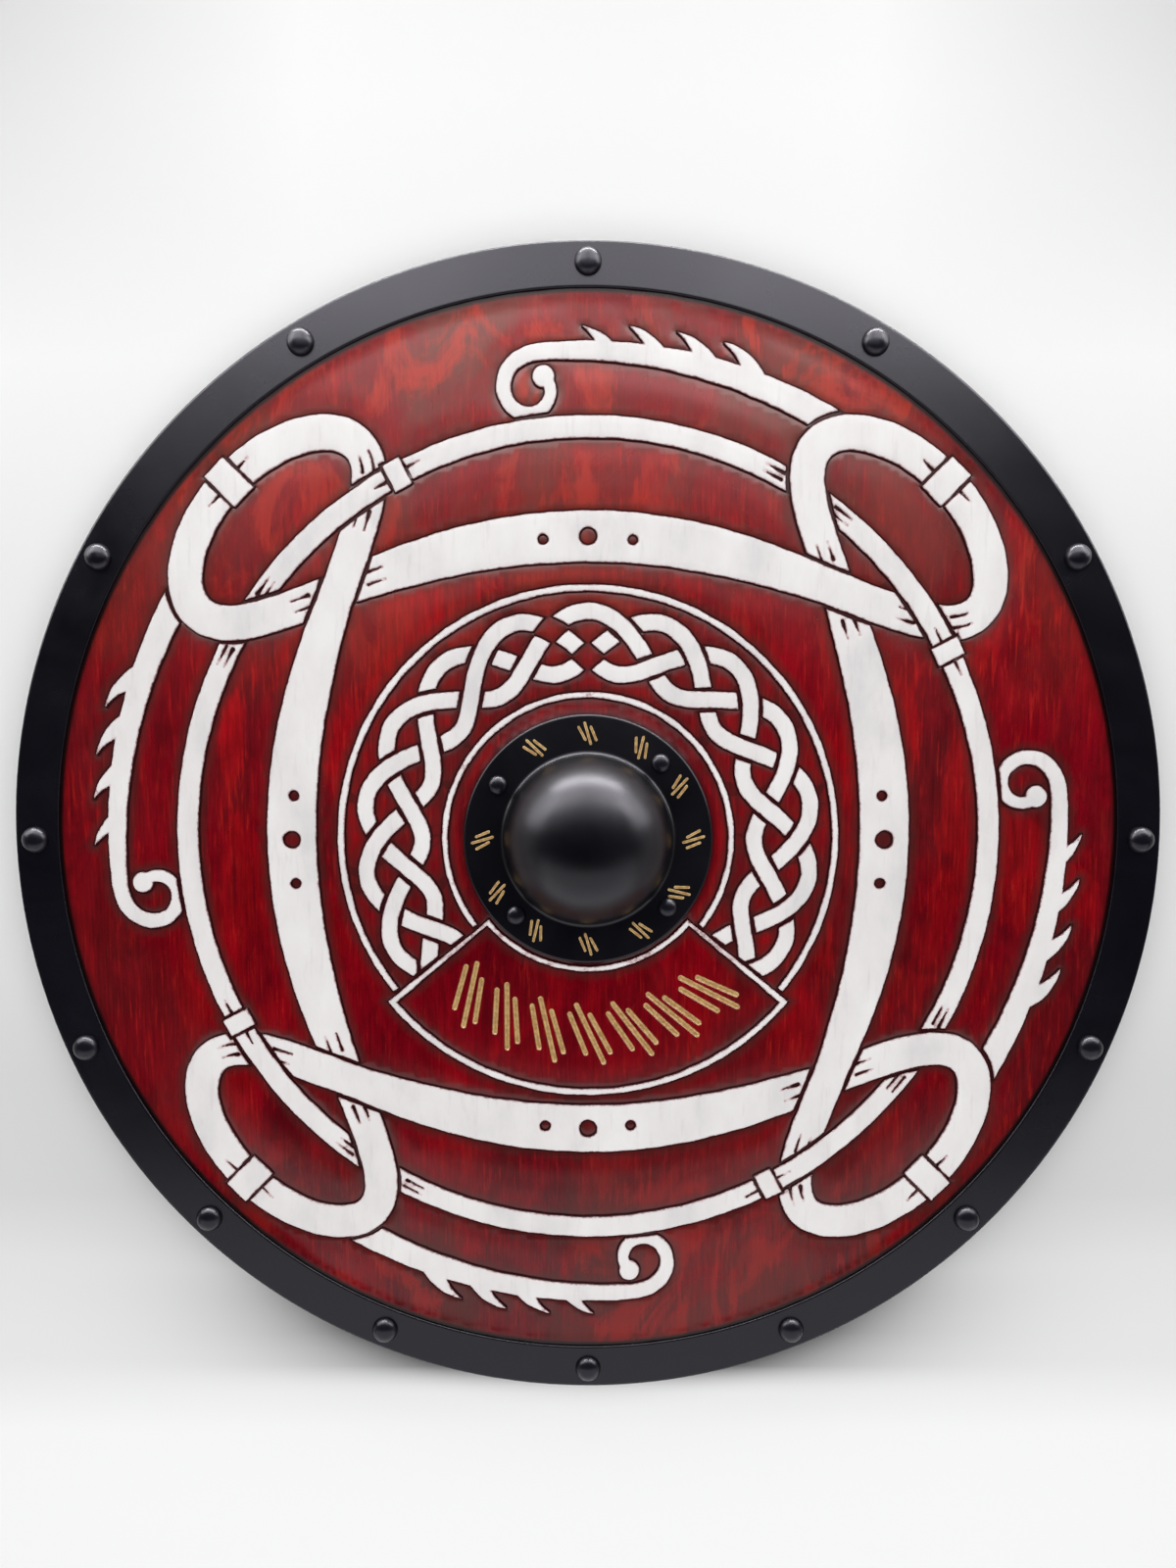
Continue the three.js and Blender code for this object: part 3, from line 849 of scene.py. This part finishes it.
def top_and_foot(s, colour, along, upper, ragged_ends):
    """A pale painted sheen, brown clouds and bright flares towards the shield's top, soot and a glow at its
    foot.
    """
    foot = s.range(along, 0.27, 0.1)
    clouds = s.noise(10, 0.7, 6, 0.62, 0.8)
    blaze = s.noise(19, 0.42, 6, 0.6, 1.3)
    ragged_clouds = s.math("ADD", clouds, ragged_ends)
    ragged_blaze = s.math("ADD", blaze, ragged_ends)
    return s.layered(
        colour,
        # Painted sheen: a paler tone laid over the top.
        (s.product(upper, 0.3), TONE["pale"]),
        (s.product(upper, s.range(clouds, 0.44, 0.56, 0.0, 0.65)), TONE["brown"]),
        (s.product(upper, s.range(ragged_blaze, 0.53, 0.61, 0.0, 0.75)), TONE["blaze"]),
        (s.product(foot, s.range(ragged_clouds, 0.46, 0.55, 0.0, 0.58)), TONE["soot"]),
        (s.product(foot, s.range(ragged_blaze, 0.53, 0.6, 0.0, 0.45)), TONE["glow"]))


def dark_edges(s, colour, upper):
    """A darker band beside the grooves, lighter towards the top as painted sheen, painted shade in the
    grooves, and painted shadow along the rim and the flange.
    """
    edge = s.attribute("edge")
    ragged = s.math("ADD", edge, s.range(s.noise(170), 0.3, 0.7, -1.2, 1.2))
    # The band is lighter towards the top as painted sheen.
    bank = s.mix(upper, TONE["low_bank"], TONE["bank_with_painted_sheen"])
    radius = s.length(s.mix(1.0, s.coords, (1, 1, 0), "MULTIPLY"))
    seam, inner = RIM_INNER * MM, FLANGE_RADIUS * MM
    return s.layered(
        colour,
        # A darker band beside the white's edges.
        (s.range(ragged, 1.6, 8.0, 0.66, 0.0), bank),
        # Painted shade in the grooves.
        (s.range(edge, 1.0, 1.9, 0.92, 0.0), TONE["groove"]),
        # Painted shadow on the wood along the rim's inner edge, with a near-black painted shadow line at
        # its foot.
        (s.range(radius, seam - 0.007, seam - 0.001, 0.0, 0.5), TONE["grime"]),
        (s.range(radius, seam - 0.0034, seam - 0.0014, 0.0, 0.95), TONE["seam"]),
        # Painted shadow on the wood beside the flange.
        (s.range(radius, inner + 0.001, inner + 0.006, 0.7, 0.0), TONE["grime"]))


def white_paint():
    """Off-white, thinly brushed, with the red ground showing at its edges."""
    s = Shader("white_brushed_paint")
    brush = s.noise(240, 0.12, 4)
    wear = s.noise(24, 0.5, 5, 0.62)
    worn = s.math("ADD", s.attribute("edge"), s.range(s.noise(330), 0.3, 0.7, -0.45, 0.45))
    colour = s.ramp(wear, [(0.32, (0.655, 0.635, 0.64)), (0.46, (0.735, 0.705, 0.705)),
                           (0.66, (0.79, 0.765, 0.765))])
    colour = s.layered(
        colour,
        (s.range(brush, 0.3, 0.42, 0.16, 0.0), (0.42, 0.37, 0.38)),
        (s.range(worn, -1.15, -0.35, 0.0, 0.62), (0.5, 0.29, 0.3)),
        (s.range(worn, -0.45, 0.1, 0.0, 0.9), (0.13, 0.018, 0.024)))
    return s.done(Base_Color=colour, Roughness=s.range(wear, 0.3, 0.7, 0.4, 0.55),
                  Normal=s.bump(s.math("ADD", brush, wear), 0.0003, 0.3))


def gold_paint():
    """Tan gold in the routed strokes: pale along the sides, with painted shade browning the bottom."""
    s = Shader("gold_paint")
    flecks = s.noise(420, 1, 3)
    depth = s.math("ADD", s.attribute("stroke"), s.range(flecks, 0.3, 0.7, -0.12, 0.12))
    colour = s.layered(
        s.ramp(flecks, [(0.35, (0.5, 0.3, 0.115)), (0.62, (0.74, 0.52, 0.235))]),
        # Painted shade: brown in the bottom of the stroke.
        (s.range(depth, -0.9, -1.5, 0.0, 0.55), (0.3, 0.145, 0.06)),
        (s.range(depth, -0.3, 0.25, 0.0, 0.85), (0.12, 0.035, 0.018)))
    return s.done(Base_Color=colour, Roughness=s.range(flecks, 0.3, 0.7, 0.28, 0.42), Metallic=0.25,
                  Normal=s.bump(flecks, 0.0002, 0.35))


def plain_wood(name, grain, bands, tones, roughness, depth):
    """Fine grain over broad rings in three tones, dark to pale."""
    s = Shader(name)
    fine = s.noise(380, detail=5, roughness=0.6, **grain)
    rings = s.noise(detail=5, roughness=0.6, **bands)
    colour = s.ramp(rings, list(zip((0.3, 0.55, 0.75), tones)))
    colour = s.shaded(colour, s.range(fine, 0.3, 0.7, 0.65, 1.1))
    return s.done(Base_Color=colour, Roughness=s.range(rings, 0.3, 0.7, *roughness),
                  Normal=s.bump(fine, 0.0006, depth))


def back_wood():
    tones = ((0.05, 0.012, 0.008), (0.11, 0.022, 0.014), (0.17, 0.04, 0.022))
    bands = dict(scale=34, upright=0.1, twist=1.0)
    return plain_wood("plain_back_wood", dict(upright=0.035), bands, tones, (0.5, 0.65), 0.6)


def grip_wood():
    tones = ((0.1, 0.045, 0.02), (0.2, 0.1, 0.045), (0.29, 0.16, 0.075))
    bands = dict(scale=40, across=0.09, twist=1.2)
    return plain_wood("oiled_grip_wood", dict(across=0.04), bands, tones, (0.42, 0.6), 0.5)


def black_coat(name, roughness, tint, grain, gloss=0.5):
    """Black paint on steel, with a cold tint in its sheen."""
    s = Shader(name)
    speckle = s.noise(1800, 1, 2)
    smear = s.noise(14, 1, 5, 0.6, 0.6)
    colour = s.ramp(smear, [(0.3, (tint, tint, tint * 1.7)), (0.7, (tint * 1.5, tint * 1.5, tint * 2.5))])
    rough = s.range(smear, 0.3, 0.7, roughness - 0.04, roughness + 0.05)
    return s.done(Base_Color=colour, Roughness=rough, Normal=s.bump(speckle, 0.0002, grain),
                  Specular_IOR_Level=gloss, Specular_Tint=(0.94, 0.91, 1.0))


# ---- steel and grip
def rim_piece():
    """The folded channel: satin face and back, matt outside its rounded edge."""
    bend, lip, easing = 2.0, 1.3, 0.5
    back = BOARD_BACK - GAP
    back_face = RIM_RADIUS - RIM_BACK_FACE
    wall = RIM_RADIUS - STEEL
    profile = [(wall, back), (back_face, back), (back_face, back - STEEL)]
    profile += arc((RIM_RADIUS - bend, back - STEEL + bend), bend, -90, 0, 7)
    profile += arc((RIM_RADIUS - bend, RIM_TOP - bend), bend, 0, 90, 9)
    profile += [(RIM_RADIUS - bend - easing, RIM_TOP), (RIM_INNER + lip + easing, RIM_TOP)]
    profile += arc((RIM_INNER + lip, RIM_TOP - lip), lip, 90, 180, 5)
    profile += [(RIM_INNER, RIM_TOP - STEEL), (wall, RIM_TOP - STEEL)]
    points, faces = lathe(profile, 360, closed=True)
    coats = [black_coat("satin_black_rim", 0.26, 0.0029, 0.3),
             black_coat("matt_black_edge", 0.6, 0.002, 0.3, gloss=0.2)]
    piece = mesh_piece("steel_rim", points, faces, coats, ["rim"], 50)
    for face in piece.data.polygons:
        face.material_index = int(face.center.xy.length > (RIM_RADIUS - bend / 4) * MM)


def boss_piece():
    """The hollow dome with a fillet at its foot and a flat flange with a round lip."""
    base, top = BOSS_LOW[2], FLANGE_TOP
    height = BOSS_HIGH[2] - top
    lip, fillet = 1.8, 3.2
    foot = DOME_RADIUS - fillet / 2
    start = math.asin(fillet / height) + 0.03

    def bowl(radius, floor_height, angles):
        rise = [(radius * math.cos(a), floor_height + height * math.sin(a)) for a in angles]
        return rise[:-1] + [(0.0, floor_height + height)]
    dome = bowl(foot, top, np.linspace(start, QUARTER, 34))
    hollow = bowl(foot - STEEL, base, np.linspace(0.0, QUARTER, 24))
    profile = hollow[::-1] + [(FLANGE_RADIUS - 0.2, base)]
    profile += arc((FLANGE_RADIUS - lip, top - lip), lip, 0, 90, 9)
    profile += [(FLANGE_RADIUS - lip - 0.4, top), (foot + fillet + 1.0, top), (foot + fillet + 0.3, top)]
    profile += arc((foot + fillet - 0.1, top + fillet), fillet, 270, 180, 12) + dome
    points, faces = lathe(profile, 192)
    coat = black_coat("satin_black_boss", 0.32, 0.0018, 0.12)
    mesh_piece("domed_boss", points, faces, [coat], ["boss"], 40)


def flange_strokes():
    """Sheaves of short slanted gold strokes round the flange, one place left empty."""
    size = FLANGE_STROKES
    half, rise, lean = size["half"], size["rise"], size["lean"]
    section = ((half, 0.02), (half * 0.62, rise), (half * 0.2, rise * 0.35))
    round_end = np.linspace(-QUARTER, QUARTER, 7)
    points, faces, depth = [], [], []
    for step in (k for k in range(size["places"]) if k != size["empty"]):
        for place, reach in FLANGE_SHEAF:
            middle = 90 - step * 360 / size["places"] + place * size["apart"]
            start = polar(size["radius"] - reach, (middle - lean) * DEGREE)
            end = polar(size["radius"] + reach, (middle + lean) * DEGREE)
            run = math.atan2(*(end - start)[::-1])
            rings = []
            for width, height in section:
                outline = np.vstack([end + polar(width, run + round_end),
                                     start + polar(width, run + math.pi + round_end)])
                rings.append(range(len(points), len(points) + len(outline)))
                points += [(x, y, FLANGE_TOP + height) for x, y in outline]
                # Depths that the gold paint reads, so the middle of each raised stroke browns as painted
                # shade of an engraving.
                depth += [-1.6 * (1 - width / half) - 0.3] * len(outline)
            faces += [*bridged(rings), tuple(rings[-1]), tuple(reversed(rings[0]))]
    piece = mesh_piece("flange_gold_strokes", points, faces, [gold_paint()], [], 30)
    point_values(piece, "stroke", depth)


def rivet_piece(node, material):
    """A domed head on a plain shank with a bevelled end."""
    low, high = span(node)
    x, y, _ = (low + high) / 2
    head = (high[0] - low[0]) / 2
    seat = (RIM_TOP if node.startswith("rim") else FLANGE_TOP) + GAP
    rise = high[2] - seat
    shank, bevel, undercut, fullness = 2.5, 0.5, 0.5, 0.96
    profile = [(0.0, low[2]), (shank - bevel, low[2]), (shank, low[2] + bevel)]
    profile += [(shank, seat), (head - undercut, seat)]
    profile += [(head * math.cos(a), seat + rise * math.sin(a) ** fullness)
                for a in np.linspace(0.08, QUARTER, 14)]
    profile[-1] = (0.0, high[2])
    points, faces = lathe(profile, 48)
    points = np.array(points) + (x, y, 0)
    mesh_piece(f"domed_{node}", points, faces, [material], [node], 40)


def grip_piece():
    """The bar across the back: rounded edges, thinner towards its ends."""
    reach, half, top = GRIP_HIGH
    shoulder, step = RIM_RADIUS - RIM_BACK_FACE - 2, 0.01
    thick_end, end_depth = shoulder - 60, 9.0
    seat = BOARD_BACK - GAP - STEEL - GAP
    soft, fine = 4.5, 0.8
    middle = np.linspace(-thick_end, thick_end, 21)
    points, sections = [], []
    for x in (-reach, -shoulder - step, -shoulder, *middle, shoulder, shoulder + step, reach):
        low = np.interp(abs(x), [thick_end, reach], [0.0, seat - end_depth])
        high = top if abs(x) <= shoulder else seat
        outline = arc((half - soft, low + soft), soft, -90, 0, 6)
        outline += arc((half - fine, high - fine), fine, 0, 90, 3)
        outline += [(-a, b) for a, b in reversed(outline)]
        sections.append(range(len(points), len(points) + len(outline)))
        points += [(x, y, z) for y, z in outline]
    faces = [*bridged(sections), tuple(reversed(sections[0])), tuple(sections[-1])]
    mesh_piece("wooden_grip", points, faces, [grip_wood()], ["grip"], 40)


# ---- floor and studio
# Painted shade on the paper, and the painted shadow beside the rim, by place from one end to the other.
PAPER_ENDS = (-0.6, 0.8)
PAINTED_PAPER_SHADE = ((0.05, 0.93), (0.1, 0.92), (0.12, 0.855), (0.14, 0.795), (0.16, 0.79), (0.198, 0.76),
               (0.235, 0.665), (0.3, 0.665), (0.42, 0.76), (0.62, 0.79), (0.67, 0.785), (0.74, 0.745),
               (0.8, 0.73), (0.86, 0.69))
PAPER_SHADOW = ((0.123, 0.0), (0.13, 0.4), (0.137, 0.92), (0.156, 0.86), (0.174, 0.62), (0.192, 0.3),
                (0.232, 0.14), (0.276, 0.07), (0.355, 0.0))
SHADOW_START, SHADOW_FADE = 420.0, 36.0


def floor():
    """White paper under the shield, with painted shade beside its lower half and at the far corners."""
    mesh = bpy.data.meshes.new("studio_floor")
    size = 2.6
    corners = [(-size, -size, 0), (size, -size, 0), (size, size, 0), (-size, size, 0)]
    mesh.from_pydata(corners, [], [(0, 1, 2, 3)])
    s = Shader("white_paper")
    across = s.add("SeparateXYZ", {0: s.coords})
    along = s.range(across.outputs["Y"], *PAPER_ENDS)
    sides = s.range(s.math("ABSOLUTE", across.outputs["X"]), 0.2, 0.42)
    # Painted shade at the far corners.
    corner = s.product(sides, s.range(across.outputs["Y"], 0.34, 0.6, 0.0, 0.66))
    away = s.math("SUBTRACT", s.length(s.coords), SHADOW_START * MM)
    fading = s.math("EXPONENT", s.math("DIVIDE", away, -SHADOW_FADE * MM), clamp=True)
    tone = s.layered(s.greys(along, PAINTED_PAPER_SHADE), (corner, (0.3, 0.3, 0.31)),
                     (s.product(fading, s.greys(along, PAPER_SHADOW)), (0.0, 0.0, 0.0)))
    mesh.materials.append(s.done(Base_Color=tone, Roughness=0.6))
    placed("studio_floor", mesh)


def panel(name, edge, far, width, radiance, azimuth=0, shift=0.0, gloss=True):
    """A soft light between two lines of (distance, height), turned about the shield.
    It shows only in the gloss, or lights only the colours."""
    power_per_area = 4
    start, end = Vector((shift, *edge)), Vector((shift, *far))
    along = end - start
    side, up = Vector((1, 0, 0)), along.normalized()
    back = side.cross(up)
    if back.dot(start + end) < 0:
        side, back = -side, -back
    light = bpy.data.lights.new(name, "AREA")
    light.shape = "RECTANGLE"
    light.size, light.size_y = width, along.length
    light.energy = radiance * power_per_area * width * along.length
    light.cycles.use_multiple_importance_sampling = gloss
    lamp = placed(name, light)
    spot = Matrix.Translation((start + end) / 2) @ Matrix((side, up, back)).transposed().to_4x4()
    lamp.matrix_world = Matrix.Rotation(azimuth * DEGREE, 4, "Z") @ spot
    lamp.visible_glossy, lamp.visible_diffuse = gloss, not gloss


def world():
    """Dark overhead and pale along the horizon, which lights the steep edges; plain to look at."""
    made = bpy.data.worlds.new("studio")
    nodes = Nodes(made)
    height = nodes.add("SeparateXYZ", {0: nodes.add("TexCoord").outputs["Generated"]}).outputs["Z"]
    glow = nodes.range(height, 0.0, 0.5, 0.5, 0.0005, interpolation_type="SMOOTHSTEP")
    looked_at = nodes.add("LightPath").outputs["Is Camera Ray"]
    strength = nodes.add("Mix", {"Factor": looked_at, "A": glow, "B": 0.75}).outputs[0]
    background = nodes.tree.nodes["Background"]
    nodes.put(background.inputs["Strength"], strength)
    nodes.put(background.inputs["Color"], (0.96, 0.98, 1.0))
    bpy.context.scene.world = made


def studio():
    """A broad light overhead for the colours, panels round the shield for the gloss."""
    world()
    ceiling, canopy = 2.2, 0.46
    panel("overhead_light", (-2.1, ceiling), (1.8, ceiling), 4.0, 1.5, gloss=False)
    panel("low_key", (2.4, 0.2), (2.3, 1.6), 2.4, 1.0, gloss=False)
    for name, near, far, width, radiance in (("top_feather", 0.2, 0.35, 0.8, 0.4),
                                             ("top_border", 0.35, 0.48, 0.8, 0.9),
                                             ("top_panel_middle", 0.48, 1.9, 0.24, 2.7)):
        panel(name, (near, canopy), (far, canopy), width, radiance)
    for side in (-1, 1):
        panel(f"top_panel_{side + 2}", (0.48, canopy), (1.9, canopy), 0.98, 3.9, shift=side * 0.61)
        panel(f"side_panel_{side + 2}", (1.3, 0.0), (1.2, 0.6), 0.9, 3.2, azimuth=side * 55)
    panel("top_strip", (1.9, 0.02), (1.9, 0.22), 2.6, 32.0)
    panel("bottom_panel", (0.42, 0.6), (1.4, 0.0), 2.4, 0.65, azimuth=180)
    bpy.context.scene.view_settings.view_transform = "Standard"


def camera():
    """Above the shield, a little towards its top, with the top up in the picture."""
    distance, tilt = 0.9, 6 * DEGREE
    view_width = 0.835
    shift, sink = 0.1, 0.0475
    data = bpy.data.cameras.new("camera")
    data.sensor_fit = "HORIZONTAL"
    data.sensor_width = 36
    data.lens = data.sensor_width * distance / view_width
    data.shift_y = shift
    back = Vector((0, math.sin(tilt), math.cos(tilt)))
    up = Vector((0, math.cos(tilt), -math.sin(tilt)))
    right = Vector((1, 0, 0))
    eye = placed("camera", data)
    eye.matrix_world = Matrix((right, up, back)).transposed().to_4x4()
    face = Vector((0, 0, RIM_TOP * MM))
    eye.location = face + back * distance - up * (shift - sink) * view_width
    bpy.context.scene.camera = eye


camera()
studio()
floor()
carved_board()
rim_piece()
boss_piece()
flange_strokes()
rivet_black = black_coat("gloss_black_rivets", 0.28, 0.004, 0.1)
for rivet in sorted(n for n in frame["nodes"] if "rivet" in n):
    rivet_piece(rivet, rivet_black)
grip_piece()
